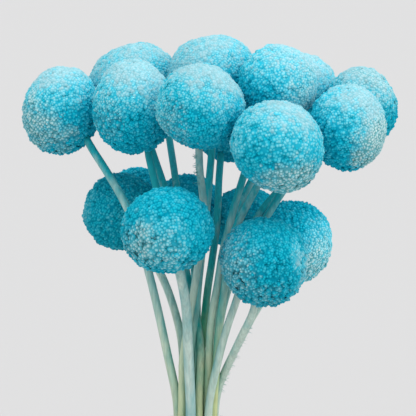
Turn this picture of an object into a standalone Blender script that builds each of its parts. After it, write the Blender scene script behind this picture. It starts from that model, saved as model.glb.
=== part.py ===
# A bunch of dried, dyed craspedia flower heads on bare stems, standing in a clear glass bottle.
# The origin is the middle of the bottle's foot, Z is up, and -Y is the side that the photograph shows.
# Every length below is in millimetres, and each mesh is scaled to metres as it is made.

import math
import random

import bmesh
import bpy
import numpy as np
from mathutils import Vector

MM = 0.001

# Bottle, turned round Z: a straight body, a rounded shoulder, a narrow neck and a beaded lip.
BOTTLE_HEIGHT = 155.0
BODY_RADIUS = 37.0
FOOT_RADIUS = 31.0
HEEL_HEIGHT = 7.0
HEEL_ROUNDING = 1.6
SHOULDER_START = 74.0
SHOULDER_END = 112.0
NECK_RADIUS = 12.6
LIP_BEAD = 2.2
BORE_RADIUS = 9.8
BORE_EDGE = 0.8
WALL = 2.8
FLOOR_THICKNESS = 5.0
BOTTLE_SIDES = 28
SHOULDER_STEPS = 7

# Stems: a hair thicker at the cut end than under the head, and a few of them stouter than the rest. In the
# neck they crowd together, a little less wide across than deep.
STEM_FOOT_RADIUS = 1.45
STEM_TIP_RADIUS = 1.3
STOUTER = {"lower_front_left": 1.3, "upper_left": 1.08, "lower_left": 1.08}
STEM_GAP = 0.3
STEM_SPREAD = 1.9
CROWDING = 1.15
LEVEL_STEP = 2.5
THINNING = 0.12

# How the stems are eased apart: where the bottle holds them, how long a stretch bends at a push and stays
# straight under a head, and in how many rounds, each by a share of what is missing.
HELD_BELOW = 6.0
GLASS_CLEARANCE = 0.5
BASE_REACH = 27.0
BEND_LENGTH = 9.0
STIFF_LENGTH = 24.0
EASING_ROUNDS = 400
EASING_SHARE = 0.12

# Heads: each floret stands up from its crevices, and the stem's tip sits in a dimple of the relief, where
# about one floret is missing.
FLORET_AREA = 27.0
FLORET_RELIEF = 1.7
FLORET_UNEVEN = 0.35
DIMPLE_DEPTH = 4.2
MISSING_FLORETS = 0.9
STEM_SEAT = 2.1
STEM_APPROACH = 4.0
TOUCH_GAP = 0.3

# Each flower: the middle of its head (across, depth, height above the bottle's mouth), the head's width
# and height, and the stem's way down from the head (height above the mouth, across, depth).
FLOWERS = {
    "upper_left": (
        (-49.5, 14, 113), 28.1, 32,
        [(101, -39, 9), (90, -31, 4), (79, -24.5, 0), (56, -17, -2), (35, -12.2, -2), (20, -9.4, -2),
         (5, -7.4, -1)],
    ),
    "upper_back_left": (
        (-23, 30, 120.5), 31, 29.9,
        [(96, -16, 20), (86, -12, 13), (70, -7.5, 8), (55, -3.5, 4), (45, -2, 3.5), (36, -0.5, 2.5),
         (26, 0.5, 0), (6, 1, -4.5)],
    ),
    "upper_front_left": (
        (-22.5, -3, 117), 28.1, 33.5,
        [(98, -17, 1), (87, -14.5, 2), (72, -10, 1), (56, -5.5, -1), (46, -3.5, -1.5), (35, -3, -2),
         (22, -2.5, -3), (6, -2, -3)],
    ),
    "upper_front_middle": (
        (1.5, -24, 118.5), 31.7, 31.7,
        [(100, 1, -17), (90, 2, -12), (82, 3, -10), (69, 2.5, -8), (59, 0.5, -7), (48, -1, -5.5),
         (35, -2.5, -4), (24, -3.5, -3.5), (6, -4.5, -3)],
    ),
    "upper_back_middle": (
        (6, 14, 125), 31.2, 30.1,
        [(97, 5.5, 9), (87, 4.5, 5), (69, 3, 3), (58, 1.5, 2), (40, 0.5, 1), (21, -0.5, 0), (5, -1, 0)],
    ),
    "upper_middle_right": (
        (29, -7, 125), 28.3, 29,
        [(93, 17, -9), (77, 12.5, -8), (65, 9.5, -8), (53, 8, -7), (39, 5.5, -6), (22, 5, -4),
         (5, 4.5, -2)],
    ),
    "upper_back_right": (
        (38, 27, 118.5), 28.3, 28.3,
        [(96, 25, 14), (86, 19, 8), (78, 15, 4), (64, 11, 1), (49, 7.5, 0), (34, 5.5, 0), (20, 4, 2),
         (4, 3, 3)],
    ),
    "upper_front_right": (
        (27.5, -40, 108), 32.5, 31.8,
        [(93, 23, -23), (89, 20.5, -20), (81, 17, -16), (72, 13, -13), (59, 11, -10.5), (50, 10, -8.5),
         (36, 8, -6), (22, 8, -4.5), (5, 7, -2.5)],
    ),
    "upper_right": (
        (53, -19, 111.5), 27.3, 30.5,
        [(97, 39, -17), (89, 31, -15), (83, 28, -14), (77, 24, -13), (64, 18.5, -13), (49, 15, -12.5),
         (37, 10.7, -12), (22, 7.5, -9), (6, 5, -6.5)],
    ),
    "upper_far_right": (
        (60, 10, 115.5), 26, 27.5,
        [(101, 44, 4), (88, 32.5, -2), (78, 25, -3), (62, 17, -2), (48, 11, 0), (36, 8.5, 2),
         (20, 6.5, 3.5), (4, 4.5, 4.5)],
    ),
    "inner_back": (
        (12, 36, 103.5), 26.8, 26.8,
        [(91, 8.5, 25), (84, 8, 14), (78, 8, 11), (71, 7.5, 9.5), (58, 5.5, 9), (44, 2.5, 6), (36, 1, 4),
         (27, 0.5, 1), (5, 1.5, -1)],
    ),
    "hidden_back": (
        (-12.5, 57, 110), 23.6, 23.6,
        [(96, -10, 45), (86, -8, 31), (80, -7, 24), (67, -3.5, 14), (52, 0.5, 8), (36, 1, 6), (20, 1.5, 4),
         (4, 1, 2)],
    ),
    "lower_left": (
        (-27.5, 24, 74), 28.3, 28.7,
        [(63, -20, 18), (54, -13.5, 11), (44, -9, 7), (37, -6.8, 5), (30, -5, 3), (20, -4.3, 2),
         (4, -4.5, 2)],
    ),
    "lower_back_left": (
        (-22.5, 58, 72), 26.1, 26.1,
        [(59, -14.5, 43), (49, -5.5, 26), (41, -3, 19), (34, -2, 13), (19, -2, 9), (3, -2.5, 7)],
    ),
    "lower_front_left": (
        (-9.5, -34, 77.5), 32.2, 30.4,
        [(60, -5.5, -23), (49, -3.5, -18), (38, -3, -14), (22, -2.5, -10), (7, -2, -8)],
    ),
    "lower_back_middle": (
        (-3, 38, 71.5), 27.8, 27.8,
        [(59, -1.5, 26), (49, -0.5, 19), (34, 0, 11), (19, 0.5, 8), (3, 0.5, 7)],
    ),
    "lower_back_right": (
        (18.5, 20, 70.5), 26.5, 26.5,
        [(60, 14.5, 12), (47, 10, 8), (33, 6, 6), (19, 3.5, 6), (3, 2.5, 7)],
    ),
    "lower_front_right": (
        (23.5, -31, 65.5), 31.4, 31.4,
        [(48, 21.9, -25), (43, 19.2, -22), (38, 16.9, -19), (29, 13.3, -12), (19, 9, -4), (12, 6.8, -0.5),
         (4, 6, 1.5)],
    ),
    "lower_right": (
        (35, -3, 68), 28, 29.5,
        [(55, 29.5, -3), (49, 26, -3.5), (42, 21.4, -3.5), (35, 18, -3), (27, 14, 0), (17, 10.4, 3.5),
         (10, 7.6, 5.5), (3, 4.5, 6.5)],
    ),
}


def material(name, colour, roughness, alpha=1.0):
    """A plain dielectric finish in linear RGB."""
    made = bpy.data.materials.new(name)
    made.use_nodes = True
    shader = made.node_tree.nodes["Principled BSDF"]
    shader.inputs["Base Color"].default_value = (*colour, 1.0)
    shader.inputs["Roughness"].default_value = roughness
    shader.inputs["Metallic"].default_value = 0.0
    shader.inputs["Alpha"].default_value = alpha
    return made


def add_mesh(name, bm, finish):
    """Turns a bmesh in millimetres into an object in metres."""
    bmesh.ops.recalc_face_normals(bm, faces=bm.faces)
    bmesh.ops.scale(bm, vec=(MM, MM, MM), verts=bm.verts)
    mesh = bpy.data.meshes.new(name)
    bm.to_mesh(mesh)
    bm.free()
    mesh.materials.append(finish)
    made = bpy.data.objects.new(name, mesh)
    bpy.context.scene.collection.objects.link(made)
    return made


def smoothstep(t):
    t = np.clip(t, 0.0, 1.0)
    return t * t * (3 - 2 * t)


def arc(centre_r, centre_z, radius, start, end, steps):
    """Points of an arc in the (radius, height) plane, from one angle to the other in degrees."""
    angles = [math.radians(start + (end - start) * i / steps) for i in range(steps + 1)]
    return [(centre_r + radius * math.cos(a), centre_z + radius * math.sin(a)) for a in angles]


def shoulder(offset):
    """The shoulder's outline, from the body up to the neck, moved in by an offset."""
    points = []
    for i in range(SHOULDER_STEPS + 1):
        t = i / SHOULDER_STEPS
        radius = BODY_RADIUS + (NECK_RADIUS - BODY_RADIUS) * float(smoothstep(t)) - offset
        points.append((radius, SHOULDER_START + (SHOULDER_END - SHOULDER_START) * t))
    return points


def bottle_profile():
    """The wall's closed section: up the outside, over the lip and down the inside to the floor."""
    outside = [(0.0, 0.0), (FOOT_RADIUS, 0.0)]
    outside += [(BODY_RADIUS - HEEL_ROUNDING, HEEL_HEIGHT / 3), (BODY_RADIUS, HEEL_HEIGHT)]
    outside += shoulder(0.0)
    lip = arc(NECK_RADIUS, BOTTLE_HEIGHT - LIP_BEAD, LIP_BEAD, -90, 90, 4)
    inside = [(BORE_RADIUS + BORE_EDGE, BOTTLE_HEIGHT), (BORE_RADIUS, BOTTLE_HEIGHT - BORE_EDGE)]
    inside += reversed(shoulder(WALL))
    inside += [(BODY_RADIUS - WALL, FLOOR_THICKNESS + HEEL_HEIGHT)]
    inside += [(FOOT_RADIUS, FLOOR_THICKNESS), (0.0, FLOOR_THICKNESS)]
    return outside + lip + inside


def add_bottle():
    bm = bmesh.new()
    verts = [bm.verts.new((r, 0.0, z)) for r, z in bottle_profile()]
    edges = [bm.edges.new(pair) for pair in zip(verts, verts[1:])]
    bmesh.ops.spin(
        bm, geom=verts + edges, cent=(0, 0, 0), axis=(0, 0, 1), angle=2 * math.pi,
        steps=BOTTLE_SIDES, use_merge=True,
    )
    bmesh.ops.remove_doubles(bm, verts=bm.verts, dist=0.001)
    made = add_mesh("bottle", bm, material("bottle_glass", (0.86, 0.91, 0.9), 0.03, 0.35))
    made.data.shade_smooth()
    made.data.set_sharp_from_angle(angle=math.radians(35))


def through_knots(levels, knots):
    """A smooth curve through the knots, as across and depth at each level."""
    heights = knots[:, 0]
    slopes = np.gradient(knots[:, 1:], heights, axis=0)
    span = np.clip(np.searchsorted(heights, levels, side="right") - 1, 0, len(heights) - 2)
    length = (heights[span + 1] - heights[span])[:, None]
    t = np.clip((levels[:, None] - heights[span][:, None]) / length, 0.0, 1.0)
    start, end = knots[span, 1:], knots[span + 1, 1:]
    return (
        (2 * t**3 - 3 * t**2 + 1) * start + (t**3 - 2 * t**2 + t) * length * slopes[span]
        + (3 * t**2 - 2 * t**3) * end + (t**3 - t**2) * length * slopes[span + 1]
    )


def first_routes(levels, centres):
    """Each stem's first route: through its own points above the mouth, then down to the glass floor."""
    neck = SHOULDER_END - BOTTLE_HEIGHT
    routes = []
    for centre, (_, _, _, way) in zip(centres, FLOWERS.values()):
        _, across, depth = way[-1]
        below = [(levels[0], across * STEM_SPREAD, depth * STEM_SPREAD), (neck, across, depth)]
        knots = below + way[::-1] + [(centre[2], centre[0], centre[1])]
        routes.append(through_knots(levels, np.array(knots, float)))
    return np.array(routes)


def settle(routes, levels, centres, sizes, stoutness):
    """Eases the stems apart, out of the other heads and into the neck, and bends them no more than it must."""
    count = len(routes)
    own = np.arange(count)
    heights = np.broadcast_to(levels[:, None], (count, len(levels), 1))
    tops = centres[:, 2:] - 0.5 * sizes[:, 2:]
    alive = levels < tops
    free = smoothstep((tops - levels) / STIFF_LENGTH)[..., None]
    radii = stem_radius(levels, tops) * stoutness
    in_neck = levels > SHOULDER_END - BOTTLE_HEIGHT
    room = np.where(levels > HELD_BELOW, np.inf, np.where(in_neck, BORE_RADIUS, BASE_REACH))
    spread = np.exp(-0.5 * ((levels[:, None] - levels) / BEND_LENGTH) ** 2)
    need = radii[:, None] + radii[None] + STEM_GAP
    keep = sizes[None, :, None] + radii[:, None, :, None] + STEM_GAP
    for _ in range(EASING_ROUNDS):
        along = np.concatenate([np.gradient(routes, LEVEL_STEP, axis=1), np.ones_like(heights)], axis=2)
        along /= np.linalg.norm(along, axis=2, keepdims=True)
        both = along[:, None] + along[None]
        both /= np.linalg.norm(both, axis=3, keepdims=True)
        apart = routes[:, None] - routes[None]
        lean = (apart * both[..., :2]).sum(3)
        level_gap = np.linalg.norm(apart, axis=3)
        close = np.maximum(need - np.sqrt(np.maximum(level_gap**2 - lean**2, 1e-9)), 0)
        close *= alive[:, None] & alive[None]
        close[own, own] = 0
        push = 0.5 * (apart / np.maximum(level_gap, 1e-6)[..., None] * close[..., None]).sum(1)
        from_head = np.concatenate([routes, heights], axis=2)[:, None] - centres[None, :, None]
        inside = np.maximum(1 - np.linalg.norm(from_head / keep, axis=3), 0) * sizes[None, :, :1]
        inside *= alive[:, None]
        inside[own, own] = 0
        outward = from_head[..., :2]
        push += (outward / np.maximum(np.linalg.norm(outward, axis=3, keepdims=True), 1e-6)
                 * inside[..., None]).sum(1)
        reach = np.linalg.norm(routes * (CROWDING, 1.0), axis=2)
        outside = np.maximum(reach + radii + GLASS_CLEARANCE - room, 0)
        push -= routes / np.maximum(reach, 1e-6)[..., None] * outside[..., None]
        routes = routes + EASING_SHARE * np.einsum("kl,ild->ikd", spread, push) * free
    return routes


def stem_radius(levels, tops):
    """The stem's radius at each level: even below the mouth, then slowly thinner up to the head."""
    rise = np.clip(levels / tops, 0.0, 1.0)
    return STEM_FOOT_RADIUS + (STEM_TIP_RADIUS - STEM_FOOT_RADIUS) * rise


def ellipsoid_radius(direction, size):
    """The distance from an ellipsoid's middle to its surface in a direction."""
    return 1 / np.linalg.norm(np.asarray(direction) / size)


def cut_at_head(route, levels, centre, size):
    """The stem's points up to its approach to the head, then straight in to its tip in the dimple."""
    points = np.column_stack([route, levels])
    near = np.linalg.norm((points - centre) / (size + STEM_APPROACH), axis=1) < 1
    points = points[:int(np.argmax(near))]
    inward = points[-1] - centre
    inward /= np.linalg.norm(inward)
    tip = centre + inward * (ellipsoid_radius(inward, size) - STEM_SEAT)
    return np.vstack([points, tip])


def thinned(points):
    """Drops the points that a straight run already passes within the thinning distance."""
    if len(points) < 3:
        return points
    chord = points[-1] - points[0]
    offsets = points - points[0]
    away = np.linalg.norm(np.cross(offsets, chord), axis=1) / np.linalg.norm(chord)
    worst = int(np.argmax(away))
    if away[worst] < THINNING:
        return points[[0, -1]]
    return np.vstack([thinned(points[:worst + 1])[:-1], thinned(points[worst:])])


def add_stem(name, points, top, stout, finish):
    """A six-sided tube along the points, with flat ends."""
    curve = bpy.data.curves.new(name, "CURVE")
    curve.dimensions = "3D"
    curve.bevel_depth = MM
    curve.bevel_resolution = 1
    curve.use_fill_caps = True
    spline = curve.splines.new("POLY")
    spline.points.add(len(points) - 1)
    for made, point in zip(spline.points, points):
        height = point[2]
        made.co = (point[0] * MM, point[1] * MM, (height + BOTTLE_HEIGHT) * MM, 1.0)
        made.radius = float(stem_radius(height, top)) * stout
    curve.materials.append(finish)
    bpy.context.scene.collection.objects.link(bpy.data.objects.new(name, curve))


def floret_directions(pole, count, seed):
    """Even directions over a sphere in a spiral that starts at the pole, each nudged a little."""
    source = random.Random(seed)
    turn = pole.to_track_quat("Z", "Y")
    golden = math.pi * (3 - math.sqrt(5))
    directions = [pole]
    for i in range(1, count):
        height = 1 - 2 * (i + MISSING_FLORETS) / (count + MISSING_FLORETS)
        around = golden * i
        ring = math.sqrt(max(1 - height * height, 0))
        nudge = Vector([source.uniform(-0.03, 0.03) for _ in range(3)])
        local = Vector((ring * math.cos(around), ring * math.sin(around), height)) + nudge
        directions.append((turn @ local).normalized())
    return directions


def add_head(name, centre, size, tip, seed, finish):
    """A ball of pointed florets: each direction carries a peak, with crevices between it and the next."""
    source = random.Random(seed)
    middle = Vector(centre)
    pole = (Vector(tip) - middle).normalized()
    count = round(4 * math.pi * float(np.mean(size)) ** 2 / FLORET_AREA)
    hull = bmesh.new()
    for direction in floret_directions(pole, count, seed):
        hull.verts.new(direction)
    bmesh.ops.convex_hull(hull, input=hull.verts)
    hull.verts.ensure_lookup_table()
    hull.verts.index_update()
    hull.faces.index_update()

    def surface(direction, depth):
        radius = float(ellipsoid_radius(direction, size))
        return middle + direction * (radius - depth) + Vector((0, 0, BOTTLE_HEIGHT))

    bm = bmesh.new()
    peaks = []
    for vert in hull.verts:
        at_pole = vert.co.dot(pole) > 0.9999
        depth = DIMPLE_DEPTH if at_pole else source.uniform(0, FLORET_UNEVEN)
        peaks.append(bm.verts.new(surface(vert.co.normalized(), depth)))
    crevices = []
    for face in hull.faces:
        depth = FLORET_RELIEF + source.uniform(-FLORET_UNEVEN, FLORET_UNEVEN)
        crevices.append(bm.verts.new(surface(face.calc_center_median().normalized(), depth)))
    for edge in hull.edges:
        one, other = (crevices[face.index] for face in edge.link_faces)
        for vert in edge.verts:
            bm.faces.new((peaks[vert.index], one, other))
    hull.free()
    add_mesh(name, bm, finish)


for old in list(bpy.data.objects):
    bpy.data.objects.remove(old)

centres = np.array([centre for centre, _, _, _ in FLOWERS.values()], float)
sizes = np.array([(width / 2, width / 2, height / 2) for _, width, height, _ in FLOWERS.values()])
floor_level = FLOOR_THICKNESS + TOUCH_GAP - BOTTLE_HEIGHT
levels = np.arange(floor_level, centres[:, 2].max(), LEVEL_STEP)
stoutness = np.array([STOUTER.get(name, 1.0) for name in FLOWERS])
routes = settle(first_routes(levels, centres), levels, centres, sizes, stoutness[:, None])

add_bottle()
for seed, (name, centre, size, route, stout) in enumerate(zip(FLOWERS, centres, sizes, routes, stoutness)):
    points = cut_at_head(route, levels, centre, size)
    stem_finish = material(f"stem_{name}", (0.33, 0.45, 0.38), 0.75)
    head_finish = material(f"head_{name}", (0.05, 0.42, 0.58), 0.85)
    add_stem(f"stem_{name}", thinned(points), centre[2] - 0.5 * size[2], stout, stem_finish)
    add_head(f"head_{name}", centre, size, points[-1], seed, head_finish)
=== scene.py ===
import math
import random

import bmesh
import bpy
import numpy as np
from mathutils import Euler, Matrix, Vector, noise


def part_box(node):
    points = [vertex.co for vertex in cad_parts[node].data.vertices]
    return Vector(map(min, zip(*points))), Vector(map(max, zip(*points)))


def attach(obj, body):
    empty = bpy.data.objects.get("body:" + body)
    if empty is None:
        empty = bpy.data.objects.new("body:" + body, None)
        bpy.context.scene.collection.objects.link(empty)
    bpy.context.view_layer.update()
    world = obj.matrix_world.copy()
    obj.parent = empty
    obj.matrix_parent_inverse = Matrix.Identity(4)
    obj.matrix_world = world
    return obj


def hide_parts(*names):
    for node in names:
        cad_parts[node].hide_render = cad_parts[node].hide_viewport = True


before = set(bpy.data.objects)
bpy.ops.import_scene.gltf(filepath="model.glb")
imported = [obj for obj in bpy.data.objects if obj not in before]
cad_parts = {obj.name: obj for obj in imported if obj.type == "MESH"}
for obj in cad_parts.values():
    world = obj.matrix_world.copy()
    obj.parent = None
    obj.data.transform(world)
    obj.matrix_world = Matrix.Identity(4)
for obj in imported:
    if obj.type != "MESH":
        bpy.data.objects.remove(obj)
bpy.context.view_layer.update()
scene = bpy.context.scene
MM = 0.001


# The bottle is a plain bud bottle of clear soda-lime glass, blown in a mould: thick in the foot, with a
# rounded shoulder, a straight neck and a fire-polished lip. It stands on its foot and holds all the stems.
def linear(hex_colour):
    """An sRGB hex colour as linear red, green, blue and alpha."""
    channels = [int(hex_colour[i:i + 2], 16) / 255 for i in (1, 3, 5)]
    return (*[c / 12.92 if c <= 0.04045 else ((c + 0.055) / 1.055) ** 2.4 for c in channels], 1.0)


def new_material(name):
    """A new principled material: itself, its tree and its shader."""
    made = bpy.data.materials.new(name)
    made.use_nodes = True
    return made, made.node_tree, made.node_tree.nodes["Principled BSDF"]


def add_node(tree, kind, settings=None, links=None):
    """A node with its settings, and its inputs set to a value or linked from another node's output."""
    made = tree.nodes.new(kind)
    for name, value in (settings or {}).items():
        setattr(made, name, value)
    for socket, value in (links or {}).items():
        if isinstance(value, bpy.types.NodeSocket):
            tree.links.new(value, made.inputs[socket])
        else:
            made.inputs[socket].default_value = value
    return made


def add_piece(name, mesh, material, node):
    """A finished piece at the origin, riding on the part's only body in place of its CAD node."""
    mesh.shade_smooth()
    mesh.materials.append(material)
    piece = bpy.data.objects.new(name, mesh)
    scene.collection.objects.link(piece)
    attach(piece, "root")
    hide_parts(node)


bottle_low, bottle_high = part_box("bottle")
bottle_height = bottle_high[2]
body_radius = (bottle_high[0] - bottle_low[0]) / 2
foot_radius = 31 * MM
shoulder_start = 74 * MM
shoulder_end = 112 * MM
shoulder_steps = 14
neck_radius = 12.6 * MM
lip_bead = 2.2 * MM
lip_steps = 10
bore_radius = 9.8 * MM
wall = 2.8 * MM
floor_thickness = 5 * MM
bottle_steps = 96
crease_angle = math.radians(50)

glass, tree, shader = new_material("clear_soda_lime_glass")
# The flame has polished it nearly mirror smooth, and where it is thick it shows a faint sea green.
shader.inputs["Base Color"].default_value = linear("#F1F8F6")
shader.inputs["Roughness"].default_value = 0.02
shader.inputs["IOR"].default_value = 1.5
shader.inputs["Transmission Weight"].default_value = 1.0

# The outline's points are a radius and a height each. They go from the middle of the foot up the outside,
# over the lip, and down the inside to the middle of the glass floor.
heel = [(foot_radius + 3.5 * MM, 1.2 * MM), (body_radius - 0.9 * MM, 3.6 * MM), (body_radius, 7 * MM)]
shoulder = []
for i in range(shoulder_steps + 1):
    t = i / shoulder_steps
    narrowed = body_radius + (neck_radius - body_radius) * t * t * (3 - 2 * t)
    shoulder.append((narrowed, shoulder_start + (shoulder_end - shoulder_start) * t))
lip = []
for i in range(lip_steps + 1):
    angle = math.pi * (i / lip_steps - 0.5)
    lip_radius = neck_radius + lip_bead * math.cos(angle)
    lip.append((lip_radius, bottle_height - lip_bead + lip_bead * math.sin(angle)))
mouth_edge = [(bore_radius + 0.8 * MM, bottle_height - 0.1 * MM), (bore_radius, bottle_height - 1.2 * MM)]
inner_wall = [(radius - wall, height) for radius, height in reversed(shoulder)]
inner_heel = [
    (body_radius - wall, 14 * MM),
    (body_radius - wall - 2 * MM, 8 * MM),
    (foot_radius - 2 * MM, 5.6 * MM),
    (foot_radius - 8 * MM, floor_thickness),
]
outside = [(0, 0), (foot_radius, 0), *heel, *shoulder, *lip]
inside = [*mouth_edge, *inner_wall, *inner_heel, (0, floor_thickness)]

bm = bmesh.new()
profile = [bm.verts.new((radius, 0, height)) for radius, height in outside + inside]
edges = [bm.edges.new(pair) for pair in zip(profile, profile[1:])]
bmesh.ops.spin(
    bm, geom=profile + edges, cent=(0, 0, 0), axis=(0, 0, 1), angle=math.tau, steps=bottle_steps,
    use_merge=True,
)
bmesh.ops.remove_doubles(bm, verts=bm.verts, dist=1e-6)
bmesh.ops.recalc_face_normals(bm, faces=bm.faces)
bottle_mesh = bpy.data.meshes.new("glass_bottle")
bm.to_mesh(bottle_mesh)
bm.free()
add_piece("glass_bottle", bottle_mesh, glass, "bottle")
bottle_mesh.set_sharp_from_angle(angle=crease_angle)


# The stems are dried flower stalks, about 3 mm thick, with fine ribs along them, and stand loose in the
# bottle. Dye from the dipped heads has run down them in stains, and toward the cut ends the yellow green of
# the plant comes through.
stem_foot_radius = 1.45 * MM
stem_tip_radius = 1.3 * MM
stem_sides = 14
stem_step = 3 * MM
# The first and last cuts through a stem's node are this share of a step inside its ends.
route_end_inset = 0.02
route_smoothings = 3
rib_count = 7
# The ribs stand out, and a stalk swells and narrows slowly along it and round it, by these shares of its
# radius.
rib_height = 0.045
swell_height = 0.05
swells_per_metre = 60
swells_per_radian = 0.5
mouth = bottle_height
# The side of a stalk toward the middle of the bunch, which the bunch shades, has this much more dye, partly
# a stain and partly painted shade, and the outer side so much less.
inward_stain_and_painted_shade = 0.3
# The plant's own green fades out this far above the mouth.
green_reach = 62 * MM
# How far up from the mouth to the head the four amounts of dye in a stem's look are reached.
dye_places = (0.0, 0.5, 0.85, 1.0)
# Stout is how many times thicker than usual a stalk is, and green how much of the plant's own green it shows.
# A frayed stretch runs from one height above the mouth to another, in mm, on one side, with so many loose
# fibres.
stem_looks = {
    "upper_left": dict(stout=1.08, dye_and_painted_shade=(0.2, 0.38, 0.68, 1.1), green=0.5),
    "upper_back_left": dict(dye_and_painted_shade=(0.2, 0.65, 0.95, 1.05), green=0.9),
    "upper_front_left": dict(dye_and_painted_shade=(0.15, 0.4, 1.0, 1.35), green=0.4),
    "upper_front_middle": dict(dye_and_painted_shade=(0.05, 0.4, 0.68, 0.6), green=0.8, frayed=((90, 101, (-1, -0.4), 34),)),
    "upper_back_middle": dict(dye_and_painted_shade=(0.15, 0.5, 1.0, 1.05), green=0.5),
    "upper_middle_right": dict(dye_and_painted_shade=(0.12, 0.45, 1.1, 1.15), green=0.9),
    "upper_back_right": dict(dye_and_painted_shade=(0.15, 0.5, 0.95, 1.1), green=0.7),
    "upper_front_right": dict(dye_and_painted_shade=(0.0, 0.75, 0.88, 0.85), green=1.2),
    "upper_right": dict(dye_and_painted_shade=(0.1, 0.3, 1.0, 1.05), green=0.15),
    "upper_far_right": dict(dye_and_painted_shade=(0.2, 0.6, 1.1, 1.1), green=0.5),
    "inner_back": dict(dye_and_painted_shade=(0.45, 0.62, 0.95, 1.05), green=2.2),
    "hidden_back": dict(dye_and_painted_shade=(0.3, 0.6, 0.95, 0.75), green=0.6),
    "lower_left": dict(stout=1.08, dye_and_painted_shade=(0.0, 0.05, 0.15, 0.3), green=0.3),
    "lower_back_left": dict(dye_and_painted_shade=(0.2, 0.4, 0.7, 0.9), green=0.5),
    "lower_front_left": dict(stout=1.3, dye_and_painted_shade=(0.44, 0.36, 0.38, 0.55), green=0.0),
    "lower_back_middle": dict(dye_and_painted_shade=(0.2, 0.5, 0.8, 1.0), green=0.5),
    "lower_back_right": dict(dye_and_painted_shade=(0.2, 0.5, 0.8, 1.0), green=0.5),
    "lower_front_right": dict(dye_and_painted_shade=(0.0, 0.0, 0.1, 0.3), green=0.15, frayed=((12, 41, (1, -0.3), 95),)),
    "lower_right": dict(dye_and_painted_shade=(0.1, 0.2, 0.4, 0.6), green=0.3),
}
# Each loose fibre has its own length, way round the stalk in radians, and slope up or down. Its middle stands
# out by a quarter of its length, so that its foot is rooted in the stalk.
fibre_length = 2.1 * MM
fibre_lengths = (0.4, 1.2)
fibre_radius = 0.17 * MM
fibre_tip_radius = 0.03 * MM
fibre_turns = (-0.8, 0.8)
fibre_slopes = (-0.6, 0.9)
fibre_middle = 0.25

dried_stalk, tree, shader = new_material("dried_flower_stalk")
coordinates = add_node(tree, "ShaderNodeTexCoord")
# Stalk fibres run lengthwise, so the streaks are drawn out along Z: about 0.7 mm wide and 12 mm long. The dye
# ran down in blotches of 3 mm by 9 mm.
fibre_space = add_node(
    tree, "ShaderNodeMapping", links={"Vector": coordinates.outputs["Object"], "Scale": (1400, 1400, 84)}
)
fibres = add_node(
    tree, "ShaderNodeTexNoise", links={"Vector": fibre_space.outputs["Vector"], "Scale": 1, "Detail": 4}
)
blotch_space = add_node(
    tree, "ShaderNodeMapping", links={"Vector": coordinates.outputs["Object"], "Scale": (330, 330, 110)}
)
blotches = add_node(
    tree, "ShaderNodeTexNoise", links={"Vector": blotch_space.outputs["Vector"], "Scale": 1, "Detail": 3}
)
# This mark is the stalk's dye, with painted shade added on the side toward the bunch's middle.
dye_and_painted_shade_mark = add_node(tree, "ShaderNodeAttribute", {"attribute_name": "dye_and_painted_shade"})
green_mark = add_node(tree, "ShaderNodeAttribute", {"attribute_name": "green"})
bare_stalk = add_node(
    tree, "ShaderNodeMix", {"data_type": "RGBA"},
    {"Factor": blotches.outputs["Fac"], "A": linear("#CFE0D6"), "B": linear("#A4C4BC")},
)
greened = add_node(
    tree, "ShaderNodeMix", {"data_type": "RGBA"},
    {"Factor": green_mark.outputs["Fac"], "A": bare_stalk.outputs["Result"], "B": linear("#C3CF98")},
)
dye_colour = add_node(
    tree, "ShaderNodeMix", {"data_type": "RGBA"},
    {"Factor": green_mark.outputs["Fac"], "A": linear("#04A2AC"), "B": linear("#2FAC8C")},
)
stain_edge = add_node(
    tree, "ShaderNodeMath", {"operation": "MULTIPLY_ADD"}, {0: blotches.outputs["Fac"], 1: 1.1, 2: -0.5}
)
stain_and_painted_shade = add_node(
    tree, "ShaderNodeMath", {"operation": "ADD", "use_clamp": True},
    {0: dye_and_painted_shade_mark.outputs["Fac"], 1: stain_edge.outputs["Value"]},
)
dyed = add_node(
    tree, "ShaderNodeMix", {"data_type": "RGBA"},
    {"Factor": stain_and_painted_shade.outputs["Value"], "A": greened.outputs["Result"], "B": dye_colour.outputs["Result"]},
)
fibre_ramp = add_node(
    tree, "ShaderNodeMapRange",
    links={"Value": fibres.outputs["Fac"], "From Min": 0.3, "From Max": 0.7, "To Min": 0.82, "To Max": 1.1},
)
streaked = add_node(
    tree, "ShaderNodeMix", {"data_type": "RGBA", "blend_type": "MULTIPLY"},
    {"Factor": 1.0, "A": dyed.outputs["Result"], "B": fibre_ramp.outputs["Result"]},
)
tree.links.new(streaked.outputs["Result"], shader.inputs["Base Color"])
# A dried stalk is matt, and only its fibres catch a little light.
shader.inputs["Roughness"].default_value = 0.7
shader.inputs["Specular IOR Level"].default_value = 0.3
bump = add_node(
    tree, "ShaderNodeBump", links={"Height": fibres.outputs["Fac"], "Strength": 0.35, "Distance": 0.2 * MM}
)
tree.links.new(bump.outputs["Normal"], shader.inputs["Normal"])


def section_middle(bm, height):
    """The middle of a node's cut at a height."""
    slice_bm = bm.copy()
    cut = bmesh.ops.bisect_plane(
        slice_bm, geom=slice_bm.verts[:] + slice_bm.edges[:] + slice_bm.faces[:], dist=1e-7,
        plane_co=(0, 0, height), plane_no=(0, 0, 1),
    )["geom_cut"]
    points = [v.co.copy() for v in cut if isinstance(v, bmesh.types.BMVert)]
    slice_bm.free()
    return sum(points, Vector()) / len(points)


def stem_route(node):
    """A stem's middle line from its cut end to its tip, read from its node every few millimetres."""
    bm = bmesh.new()
    bm.from_mesh(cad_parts[node].data)
    bmesh.ops.remove_doubles(bm, verts=bm.verts, dist=1e-6)
    heights = [v.co.z for v in bm.verts]
    low, high = min(heights), max(heights)
    count = round((high - low) / stem_step)
    steps = [(high - low) * (i + route_end_inset) / (count + 2 * route_end_inset) for i in range(count + 1)]
    route = np.array([section_middle(bm, low + step) for step in steps])
    bm.free()
    for _ in range(route_smoothings):
        route[1:-1] = 0.25 * route[:-2] + 0.5 * route[1:-1] + 0.25 * route[2:]
    return route


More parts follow.
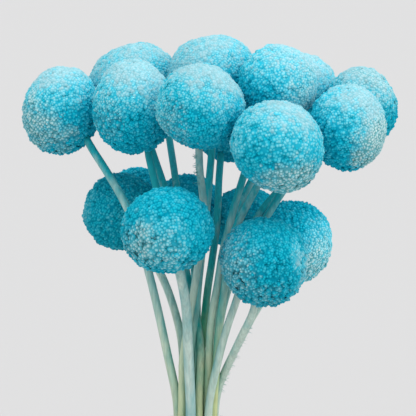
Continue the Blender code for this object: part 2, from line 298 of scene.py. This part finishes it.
def stem_piece(name, number, look):
    """A ribbed tube along the stem's route, thinner toward the head, with its dye, partly painted shade, and
    green as attributes.
    """
    source = random.Random(number)
    node = f"stem_{name}"
    route = stem_route(node)
    top = route[-1][2]

    def dye_at(height):
        """The amount of dye in the stalk at a height."""
        return float(np.interp((height - mouth) / (top - mouth), dye_places, look["dye_and_painted_shade"]))

    phase = source.uniform(0, math.tau)
    bm = bmesh.new()
    dye_and_painted_shade_layer = bm.verts.layers.float.new("dye_and_painted_shade")
    green_layer = bm.verts.layers.float.new("green")
    ring = bmesh.ops.create_circle(bm, segments=stem_sides, radius=1.0, cap_ends=True)["verts"]
    edges = bm.edges[:]
    shape = [v.co.copy() for v in ring]
    for i, point in enumerate(route):
        if i:
            grown = bmesh.ops.extrude_edge_only(bm, edges=edges)["geom"]
            ring = [v for v in grown if isinstance(v, bmesh.types.BMVert)]
            edges = [e for e in grown if isinstance(e, bmesh.types.BMEdge)]
            edges = [e for e in edges if all(v in ring for v in e.verts)]
        ahead, behind = route[min(i + 1, len(route) - 1)], route[max(i - 1, 0)]
        facing = Vector(ahead - behind).to_track_quat("Z", "Y")
        rise = (point[2] - mouth) / (top - mouth)
        radius = stem_foot_radius + (stem_tip_radius - stem_foot_radius) * min(max(rise, 0), 1)
        radius *= look.get("stout", 1.0)
        dye_and_painted_shade = dye_at(point[2])
        green = look["green"] * min(max(1 - (point[2] - mouth) / green_reach, 0), 1)
        outward = Vector((point[0], point[1], 0)).normalized()
        for vert, place in zip(ring, shape):
            angle = math.atan2(place.y, place.x)
            rib = rib_height * math.cos(rib_count * angle + phase)
            in_noise = Vector((point[2] * swells_per_metre, number, angle * swells_per_radian))
            swell = swell_height * noise.noise(in_noise)
            side = facing @ place
            vert.co = Vector(point) + side * (radius * (1 + rib + swell))
            # The side toward the bunch's middle gets more of this mark: partly a stain, partly painted shade.
            vert[dye_and_painted_shade_layer] = dye_and_painted_shade - inward_stain_and_painted_shade * side.dot(outward)
            vert[green_layer] = green
    bmesh.ops.contextual_create(bm, geom=edges)

    for low, high, toward, count in look.get("frayed", ()):
        for _ in range(count):
            height = mouth + source.uniform(low, high) * MM
            at = Vector([float(np.interp(height, route[:, 2], route[:, axis])) for axis in range(3)])
            turned = math.atan2(toward[1], toward[0]) + source.uniform(*fibre_turns)
            outward = Vector((math.cos(turned), math.sin(turned), source.uniform(*fibre_slopes)))
            length = fibre_length * source.uniform(*fibre_lengths)
            placed = Matrix.Translation(at + outward.normalized() * (stem_tip_radius + fibre_middle * length))
            fibre = bmesh.ops.create_cone(
                bm, cap_ends=True, segments=4, radius1=fibre_radius, radius2=fibre_tip_radius, depth=length,
                matrix=placed @ outward.to_track_quat("Z", "Y").to_matrix().to_4x4(),
            )["verts"]
            for vert in fibre:
                vert[dye_and_painted_shade_layer] = dye_at(height)
    bmesh.ops.recalc_face_normals(bm, faces=bm.faces)
    mesh = bpy.data.meshes.new(node)
    bm.to_mesh(mesh)
    bm.free()
    add_piece(f"stalk_{name}", mesh, dried_stalk, node)


for number, (name, look) in enumerate(stem_looks.items()):
    stem_piece(name, number, look)


# The heads are balls of tiny florets, packed in small clusters on a firm core, one at the tip of each stalk.
# Dipped in cyan dye, they are deep blue in their crevices. Their tops and lit sides are drawn paler as
# painted highlight, and undyed grey shows where the dye ran thin.
floret_length = 0.85 * MM
floret_bud = 0.78
# A floret is this much wider than its share of the surface, so that the core is hidden.
floret_overlap = 1.72
floret_uneven = 0.03 * MM
core_depth = 0.28 * MM
cluster_dome = 0.05 * MM
cluster_lean = math.radians(10)
usual_clumps = 2.05
# Where the florets are fully dyed, they stand up, with deeper crevices between them and their clusters. Where
# they have the painted highlight, they are short and even, and where they are bare, a little so.
deeper_core = 0.34 * MM
deeper_dome = 0.48 * MM
more_uneven = 0.08 * MM
bare_flattening = 0.3
least_tilt = 0.3
least_length = 0.65
# In rows like a honeycomb's, a floret or cluster takes this much of the square of its spacing.
honeycomb_share = 0.866
# Nothing grows evenly: a floret strays by this share of its spacing, a cluster by this share of the head's
# radius, and a floret leans out of line by this slope. Lengths, widths and tones vary within these ranges.
floret_shift = 0.17
cluster_shift = 0.04
floret_sway = 0.11
floret_lengths = (0.85, 1.15)
floret_widths = (0.82, 1.18)
floret_tones = (0.88, 1.06)
core_tone = 0.9
# How far a corner between clusters is from their middles, where 1 is a cluster's edge.
cluster_corner = 1.4
# The painted highlight reaches further on a cluster's crown than at its edge, and some clusters and some
# florets have more of it than others, at random. It changes most where it is half done.
crown_painted_highlight = 1.8
crown_reach = 0.6
cluster_variety = 0.8
floret_variety = 0.4
painted_highlight_change = 0.14
painted_highlight_change_less = 0.07
bare_variety = 0.15
# The florets reach past the solid by this much, and the ball has broad and small bumps: a height, and how
# many there are to its radius.
past_solid = 0.4 * MM
ball_bumps = ((0.4 * MM, 2.1), (0.6 * MM, 6.0))
# The kinds of mark on a head, each with how many patches there are to its radius, and its place in the noise.
# The patches make a mark's edge ragged, by this much as a cosine. Each head reads the noise a step further
# on.
# The first kind of mark is the painted highlight on the tops and lit sides.
mark_kinds = (("painted_highlights", 2.6, 0), ("bare", 3.4, 40), ("rough", 2.6, 80))
patch_share = 0.25
noise_step = 7.0

dyed_florets, tree, shader = new_material("dyed_dried_florets")
tip_mark = add_node(tree, "ShaderNodeAttribute", {"attribute_name": "tip"})
# This mark is painted highlight: florets drawn paler on the tops and sides where the light falls.
painted_highlight_mark = add_node(tree, "ShaderNodeAttribute", {"attribute_name": "painted_highlight"})
bare_mark = add_node(tree, "ShaderNodeAttribute", {"attribute_name": "bare"})
painted_shade_and_tone_mark = add_node(tree, "ShaderNodeAttribute", {"attribute_name": "painted_shade_and_tone"})
# The tip mark goes from 0 at a floret's foot to 1 at its end, and the crown is the upper part of that.
crown = add_node(
    tree, "ShaderNodeMapRange", links={"Value": tip_mark.outputs["Fac"], "From Min": 0.58, "From Max": 0.95}
)
# The painted highlight pales a floret's tip first, and its foot stays blue until the tip is pale: these are
# the shades of the foot and of the tip where it is fully dyed, with half the painted highlight, and with all.
foot_shades = ("#00A2C0", "#2CC2DC", "#92C9D3")
tip_shades = ("#1CC4DA", "#84D8E4", "#A4CDD7")
painted_highlight_ramps = []
for colours in (foot_shades, tip_shades):
    shades = add_node(tree, "ShaderNodeValToRGB", links={"Fac": painted_highlight_mark.outputs["Fac"]})
    shades.color_ramp.elements.new(0.5)
    for element, colour in zip(shades.color_ramp.elements, colours):
        element.color = linear(colour)
    painted_highlight_ramps.append(shades)
foot_shade, tip_shade = painted_highlight_ramps
painted_highlights = add_node(
    tree, "ShaderNodeMix", {"data_type": "RGBA"},
    {"Factor": crown.outputs["Result"], "A": foot_shade.outputs["Color"], "B": tip_shade.outputs["Color"]},
)
bare_flower = add_node(
    tree, "ShaderNodeMix", {"data_type": "RGBA"},
    {"Factor": crown.outputs["Result"], "A": linear("#6CB0B5"), "B": linear("#C8E4E5")},
)
bared = add_node(
    tree, "ShaderNodeMix", {"data_type": "RGBA"},
    {"Factor": bare_mark.outputs["Fac"], "A": painted_highlights.outputs["Result"], "B": bare_flower.outputs["Result"]},
)
# The tone multiplies in painted light and shade for each head, and a random tone for each floret.
with_painted_shade_and_tone = add_node(
    tree, "ShaderNodeMix", {"data_type": "RGBA", "blend_type": "MULTIPLY"},
    {"Factor": 1.0, "A": bared.outputs["Result"], "B": painted_shade_and_tone_mark.outputs["Fac"]},
)
tree.links.new(with_painted_shade_and_tone.outputs["Result"], shader.inputs["Base Color"])
# Dry florets are as matt as paper. They let light through, so their far sides aren't dark: the shading leans
# toward the ball's own.
shader.inputs["Roughness"].default_value = 0.9
shader.inputs["Specular IOR Level"].default_value = 0.05
ball_mark = add_node(tree, "ShaderNodeAttribute", {"attribute_name": "ball"})
surface_normal = add_node(tree, "ShaderNodeNewGeometry")
softened = add_node(
    tree, "ShaderNodeMix", {"data_type": "VECTOR"},
    {"Factor": 0.55, "A": surface_normal.outputs["Normal"], "B": ball_mark.outputs["Vector"]},
)
tree.links.new(softened.outputs["Result"], shader.inputs["Normal"])


def taken_apart(bm):
    """The points and faces of a bmesh, which is freed."""
    bm.verts.index_update()
    points = np.array([vert.co for vert in bm.verts])
    faces = [[vert.index for vert in face.verts] for face in bm.faces]
    bm.free()
    return points, faces


def floret_shape():
    """One floret, one unit long: a five-sided bud with a domed end, open below where others hide it."""
    bm = bmesh.new()
    bmesh.ops.create_cone(bm, cap_ends=True, segments=5, radius1=1.0, radius2=0.5, depth=floret_bud)
    bmesh.ops.translate(bm, vec=(0, 0, floret_bud / 2), verts=bm.verts)
    bm.faces.ensure_lookup_table()
    heights = [face.calc_center_median().z for face in bm.faces]
    bottom, lid = bm.faces[heights.index(min(heights))], bm.faces[heights.index(max(heights))]
    peak = bmesh.ops.poke(bm, faces=[lid])["verts"]
    bmesh.ops.translate(bm, vec=(0, 0, 1 - floret_bud), verts=peak)
    bmesh.ops.delete(bm, geom=[bottom], context="FACES_ONLY")
    return taken_apart(bm)


def unit(vectors):
    """Vectors made one unit long."""
    return vectors / np.linalg.norm(vectors, axis=-1, keepdims=True)


def ramp(values, low, high):
    """Values as shares of the way from low to high."""
    return np.clip((values - low) / (high - low), 0, 1)


def spiral_directions(count):
    """Even directions over a sphere, along a spiral."""
    steps = np.arange(count)
    height = 1 - 2 * (steps + 0.5) / count
    around = steps * math.pi * (3 - math.sqrt(5))
    ring = np.sqrt(1 - height**2)
    return np.column_stack([ring * np.cos(around), ring * np.sin(around), height])


def patchy(directions, scale, number):
    """Smooth noise over a head's directions, from a place in the noise that is the head's own."""
    return np.array([noise.noise(Vector(d * scale + number * noise_step)) for d in directions])


def head_marks(facing, number, look):
    """How much painted highlight, how bare of dye and how much more clumped a head is in each direction."""
    marks = []
    for kind, scale, shift in mark_kinds:
        mark = np.zeros(len(facing))
        for side, start, full, amount in look.get(kind, ()):
            patches = patch_share * patchy(facing, scale, number + shift)
            toward = facing @ unit(np.array(side, float)) + patches
            mark = np.maximum(mark, amount * ramp(toward, start, full))
        marks.append(mark)
    return marks


def standing(painted_highlight, bare):
    """How far the florets stand up, from 0 to 1."""
    return 1 - np.maximum(painted_highlight, bare_flattening * bare)


def dome_height(upright, rough):
    """How far a cluster's edge lies below its middle."""
    return cluster_dome + deeper_dome * upright + rough * MM


def head_piece(name, number, look):
    """A head's florets, each stamped at its place on the head's rounded form, over a core."""
    node = f"head_{name}"
    low, high = (np.array(corner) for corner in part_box(node))
    middle, size = (low + high) / 2, (high - low) / 2 + past_solid
    mean_radius = float(np.mean(size))
    area = 4 * math.pi * mean_radius**2
    spacing = look["grain"] * MM
    count = round(area / (honeycomb_share * spacing**2))
    cluster_spacing = look.get("clumps", usual_clumps) * MM
    cluster_count = round(area / (honeycomb_share * cluster_spacing**2))
    # A head's tone is painted light and shade: darker where it lies in the shade of other heads, lighter
    # where it is lit.
    painted_shade_and_tone = look.get("painted_shade_and_tone", 1.0)

    draws = np.random.default_rng(number)
    turn = np.array(Euler(draws.uniform(0, math.tau, 3)).to_matrix())
    cluster_shifts = draws.normal(0, cluster_shift, (cluster_count, 3))
    clusters = unit(spiral_directions(cluster_count) + cluster_shifts) @ turn
    floret_shifts = draws.normal(0, floret_shift * spacing / mean_radius, (count, 3))
    facing = unit(spiral_directions(count) + floret_shifts) @ turn.T

    def cluster_places(directions):
        """Each direction's cluster, which way it lies from the middle of that, and how far, 1 at the edge."""
        own = np.argmax(directions @ clusters.T, axis=1)
        aside = directions - clusters[own] * np.sum(directions * clusters[own], axis=1, keepdims=True)
        far = np.linalg.norm(aside, axis=1) * mean_radius / (cluster_spacing / 2)
        return own, aside, np.clip(far, 0, cluster_corner)

    def surface(directions):
        """How far the florets' tips reach from the head's middle in each direction."""
        ball = 1 / np.linalg.norm(directions / size, axis=1)
        bumps = sum(height * patchy(directions, scale, number) for height, scale in ball_bumps)
        lobes = sum(
            height * MM * np.clip(directions @ unit(np.array(side)), 0, 1) ** 2
            for side, height in look.get("lobes", ())
        )
        return ball + bumps + lobes

    own_cluster, aside, offset = cluster_places(facing)
    painted_highlight, bare, rough = head_marks(facing, number, look)
    upright = standing(painted_highlight, bare)
    tilt = least_tilt + (1 - least_tilt) * upright
    lean = unit(aside) * (offset * tilt * math.tan(cluster_lean))[:, None]
    axis = unit(facing + lean + draws.normal(0, floret_sway, (count, 3)) * tilt[:, None])
    added_painted_highlight = crown_painted_highlight * (crown_reach - offset**2)
    added_painted_highlight += draws.normal(0, cluster_variety, cluster_count)[own_cluster]
    added_painted_highlight += draws.normal(0, floret_variety, count)
    painted_highlight = np.clip(painted_highlight + added_painted_highlight * (painted_highlight_change - painted_highlight_change_less * np.abs(2 * painted_highlight - 1)), 0, 1)
    bare = np.clip(bare + draws.normal(0, bare_variety, count) * (bare > 0), 0, 1)

    rise = draws.normal(0, 1, count) * (floret_uneven + more_uneven * upright)
    top = surface(facing) - dome_height(upright, rough) * offset**2 + rise
    length = floret_length * (least_length + (1 - least_length) * upright)
    length = length * draws.uniform(*floret_lengths, count) + np.maximum(rise, 0)
    width = spacing / 2 * floret_overlap * draws.uniform(*floret_widths, count)
    side = unit(np.cross(axis, draws.normal(0, 1, (count, 3))))
    other = np.cross(axis, side)
    painted_shades_and_tones = painted_shade_and_tone * draws.uniform(*floret_tones, count)
    # A head has thousands of florets, so they are stamped by sums over arrays, which takes moments.
    local = floret_points[None] * np.stack([width, width, length], axis=1)[:, None]
    feet = middle + facing * top[:, None] - axis * length[:, None]
    points = feet[:, None] + local[..., :1] * side[:, None] + local[..., 1:2] * other[:, None]
    points = (points + local[..., 2:] * axis[:, None]).reshape(-1, 3)

    core = bmesh.new()
    bmesh.ops.create_icosphere(core, subdivisions=4, radius=1.0)
    core_facing = np.array([v.co for v in core.verts])
    core_painted_highlight, core_bare, core_rough = head_marks(core_facing, number, look)
    core_upright = standing(core_painted_highlight, core_bare)
    core_offset = cluster_places(core_facing)[2]
    core_reach = surface(core_facing) - dome_height(core_upright, core_rough) * core_offset**2
    core_reach -= core_depth + deeper_core * core_upright
    for vert, reach in zip(core.verts, core_reach):
        vert.co = Vector(middle) + vert.co * reach
    core_points, core_faces = taken_apart(core)

    each = len(floret_points)
    starts = (len(core_points) + np.arange(count) * each).tolist()
    faces = core_faces + [[start + corner for corner in face] for start in starts for face in floret_faces]
    mesh = bpy.data.meshes.new(node)
    mesh.from_pydata(np.vstack([core_points, points]), [], faces)
    # Of these marks, the one that pales the tips is painted highlight, and the tone is partly painted light
    # and shade.
    for mark, core_values, values in (
        ("tip", np.zeros(len(core_points)), np.tile(floret_points[:, 2], count)),
        ("painted_highlight", core_painted_highlight, np.repeat(painted_highlight, each)),
        ("bare", core_bare, np.repeat(bare, each)),
        ("painted_shade_and_tone", np.full(len(core_points), core_tone * painted_shade_and_tone), np.repeat(painted_shades_and_tones, each)),
    ):
        values = np.concatenate([core_values, values]).astype(np.float32)
        mesh.attributes.new(mark, "FLOAT", "POINT").data.foreach_set("value", values)
    outward = np.vstack([core_facing, np.repeat(facing, each, axis=0)]).astype(np.float32)
    mesh.attributes.new("ball", "FLOAT_VECTOR", "POINT").data.foreach_set("vector", outward.ravel())
    add_piece(f"florets_{name}", mesh, dyed_florets, node)


# A look's grain is how far apart a head's florets are in mm, its clumps how far apart its clusters are, and
# its tone makes the whole head lighter or darker, as painted light and shade: darker where a head lies in the
# shade of others, lighter where it is lit. The painted highlights, bare and rough are sides with that mark,
# each a direction, how near to it the mark starts and how near it is full, as cosines, and how much of it
# there is: for rough, by how many mm the crevices between clusters are deeper. Lobes are sides where the ball
# bulges, or is flatter, by so many mm. Most heads have their painted highlight from above, as the light
# falls.
above = (0.1, -0.1, 1.0)
head_looks = {
    "upper_left": dict(
        grain=1.1, painted_shade_and_tone=1.04,
        painted_highlights=[((-0.1, 0, 1), 0.05, 0.9, 1.0)],
        bare=[((-0.75, -0.5, -0.35), 0.5, 0.9, 0.7), ((-0.2, -0.8, -0.6), 0.75, 1.0, 0.6)],
        rough=[((0, -0.6, -0.8), 0.2, 0.9, 0.15)],
        lobes=[
            ((-0.7, 0, 0.7), -0.8), ((0.75, 0, 0.65), 0.8), ((-0.6, 0, -0.8), 0.5), ((0.85, 0, -0.5), 0.9),
        ],
    ),
    "upper_back_left": dict(
        grain=1.03,
        painted_highlights=[(above, 0.1, 0.9, 0.9), ((-0.8, -0.4, 0.5), 0.3, 0.9, 0.75)],
        lobes=[((-0.95, 0, 0.15), 1.8), ((-0.5, 0, 0.85), -1.0), ((0.7, 0, 0.7), 1.7)],
    ),
    "upper_front_left": dict(
        grain=1.03, painted_shade_and_tone=1.06,
        painted_highlights=[(above, -0.1, 0.85, 1.0)],
        bare=[((-0.7, -0.6, -0.2), 0.75, 1.2, 0.3)],
        rough=[((-0.2, -0.8, -0.3), 0.3, 0.9, 0.2)],
        lobes=[((0.8, 0, -0.6), 1.5), ((-0.7, 0, -0.7), 1.1)],
    ),
    "upper_front_middle": dict(
        grain=0.98,
        painted_highlights=[((0.35, -0.1, 1), 0.08, 0.85, 1.0), ((-1, 0, 0.2), 0.6, 1.1, 0.6)],
        bare=[((-0.9, -0.4, -0.3), 0.6, 1.1, 0.3)],
        lobes=[((-0.35, 0, -0.95), -2.2)],
    ),
    "upper_back_middle": dict(
        grain=1.03, painted_shade_and_tone=1.03,
        painted_highlights=[(above, 0.0, 0.95, 0.92), ((-0.8, -0.4, 0.5), 0.2, 0.8, 0.8)],
        lobes=[((-0.75, 0, 0.6), 0.9), ((0.85, 0, 0.5), 1.5), ((0.1, 0, 1), -0.6)],
    ),
    "upper_middle_right": dict(
        grain=1.03, painted_shade_and_tone=1.09,
        painted_highlights=[((0.45, -0.1, 1), -0.3, 1.0, 0.95), ((0.9, -0.4, -0.2), 0.5, 1.0, 0.75)],
        bare=[((0.8, -0.5, -0.3), 0.6, 0.95, 0.4)],
        rough=[((-0.4, -0.8, 0), 0.4, 0.9, 0.1)],
    ),
    "upper_back_right": dict(
        grain=1.03, painted_shade_and_tone=1.07,
        painted_highlights=[(above, -0.3, 0.7, 0.93)],
        lobes=[((0.7, 0, 0.7), -0.2)],
    ),
    "upper_front_right": dict(
        grain=1.15,
        painted_highlights=[
            ((0.4, -0.15, 1), -0.08, 1.1, 1.0), ((-1, 0, 0.3), 0.6, 1.2, 0.6),
            ((0.3, -0.5, -0.95), 0.7, 1.0, 0.45), ((0.9, -0.3, 0.3), 0.4, 1.1, 0.55),
        ],
        bare=[((0.3, -0.5, -0.95), 0.6, 0.9, 0.7)],
        rough=[((0, -0.7, -0.6), 0.1, 0.9, 0.2)],
        lobes=[((0.75, 0, -0.65), 1.2), ((-0.8, 0, -0.6), -1.2)],
    ),
    "upper_right": dict(
        grain=1.03, painted_shade_and_tone=1.05,
        painted_highlights=[((0.5, -0.3, 1), 0.1, 0.9, 1.0), ((1, -0.25, -0.1), 0.42, 0.85, 0.95)],
        bare=[((0.85, -0.4, -0.45), 0.5, 0.85, 0.8)],
        rough=[((-0.5, -0.7, -0.4), 0.3, 0.9, 0.2)],
        lobes=[((0.3, 0, -0.95), 0.2)],
    ),
    "upper_far_right": dict(
        grain=1.03,
        painted_highlights=[(above, -0.05, 0.85, 0.95)],
        bare=[((0.5, -0.4, 0.9), 0.3, 1.0, 0.25)],
        lobes=[((0.8, 0, -0.6), 1.4), ((0.95, 0, 0.15), -1.2), ((-0.8, 0, 0.5), 0.4)],
    ),
    "inner_back": dict(grain=1.2),
    "hidden_back": dict(grain=1.2, painted_highlights=[(above, 0.2, 0.9, 0.8)]),
    "lower_left": dict(
        grain=1.05, painted_shade_and_tone=0.78,
        painted_highlights=[((-1, -0.1, 0.1), 0.75, 1.1, 0.5)],
        lobes=[((-0.7, 0, -0.7), 0.6)],
    ),
    "lower_back_left": dict(grain=1.03),
    "lower_front_left": dict(
        grain=1.15, clumps=2.6, painted_shade_and_tone=0.94,
        painted_highlights=[((-0.3, -0.9, -0.3), 0.55, 1.0, 0.5)],
        bare=[((-0.65, -0.7, -0.35), 0.7, 1.0, 0.5), ((0.1, -0.8, -0.7), 0.85, 1.0, 0.2)],
        rough=[((-0.45, -0.75, -0.5), 0.42, 0.8, 0.82)],
        lobes=[((-0.8, 0, -0.6), 0.9)],
    ),
    "lower_back_middle": dict(grain=1.03),
    "lower_back_right": dict(grain=1.03),
    "lower_front_right": dict(
        grain=1.03, clumps=2.4, painted_shade_and_tone=0.9,
        painted_highlights=[((1, -0.1, -0.05), 0.7, 0.97, 0.7)],
        bare=[((-0.9, -0.4, -0.1), 0.45, 0.9, 0.35), ((0, -0.6, -0.8), 0.8, 1.0, 0.2)],
        rough=[((-0.1, -0.75, -0.65), 0.2, 0.85, 0.65), ((1, -0.1, 0), 0.7, 0.95, 0.5)],
        lobes=[((0.7, 0, -0.7), -0.6), ((0.1, 0, -1), 1.3), ((-0.5, 0, -0.85), -1.2)],
    ),
    "lower_right": dict(
        grain=1.03, painted_shade_and_tone=1.19,
        painted_highlights=[((1, -0.45, -0.1), 0.4, 1.1, 0.5)],
        bare=[((0.5, -0.5, -0.7), 0.45, 0.9, 0.7), ((1, -0.4, -0.1), 0.6, 1.1, 0.4)],
        lobes=[((0.1, 0, -1), 1.2)],
    ),
}
floret_points, floret_faces = floret_shape()
for number, (name, look) in enumerate(head_looks.items()):
    head_piece(name, number, look)


# The floor is a wide disc of pale matt paper, without sheen, and it runs out of every view, so that no edge
# of it shows.
floor_radius = 14.0
floor_steps = 96
floor_colour = (0.546, 0.546, 0.548, 1)

paper, tree, shader = new_material("pale_matt_paper")
shader.inputs["Base Color"].default_value = floor_colour
shader.inputs["Roughness"].default_value = 0.9
shader.inputs["Specular IOR Level"].default_value = 0.0
bm = bmesh.new()
bmesh.ops.create_circle(bm, segments=floor_steps, radius=floor_radius, cap_ends=True)
floor_mesh = bpy.data.meshes.new("floor")
bm.to_mesh(floor_mesh)
bm.free()
floor_mesh.materials.append(paper)
floor = bpy.data.objects.new("floor", floor_mesh)
scene.collection.objects.link(floor)


# The light is that of a white room: even and soft from all round, with one broad lamp high at the front right
# that gives each head a lighter top and a shaded underside.
room_light = (0.737, 0.737, 0.74, 1)
lamp_side = Vector((0.3, -0.3, 1.0))
lamp_breadth = math.radians(120)

world = bpy.data.worlds.new("soft_light")
scene.world = world
world.use_nodes = True
background = world.node_tree.nodes["Background"]
background.inputs["Color"].default_value = room_light
background.inputs["Strength"].default_value = 1.0

lamp_data = bpy.data.lights.new("broad_lamp", "SUN")
lamp_data.energy = 2.2
lamp_data.angle = lamp_breadth
lamp = bpy.data.objects.new("broad_lamp", lamp_data)
lamp.rotation_euler = lamp_side.to_track_quat("Z", "Y").to_euler()
scene.collection.objects.link(lamp)


# The camera stands in front of the bunch and looks slightly down on it, as the photo's did. Its square frame
# ends just above the bottle's mouth, and everything is sharp.
camera_distance = 0.9
camera_slope = math.radians(10)
field_width = 149.8 * MM
target = Vector((4.3 * MM, 0, mouth + 79.3 * MM))

camera_data = bpy.data.cameras.new("camera")
camera_data.sensor_width = 36
camera_data.lens = camera_data.sensor_width * camera_distance / field_width
camera = bpy.data.objects.new("camera", camera_data)
away = Vector((0, -math.cos(camera_slope), math.sin(camera_slope)))
camera.location = target + away * camera_distance
camera.rotation_euler = away.to_track_quat("Z", "Y").to_euler()
scene.collection.objects.link(camera)
scene.camera = camera
# The standard view shows the colours as they are set above.
scene.view_settings.view_transform = "Standard"
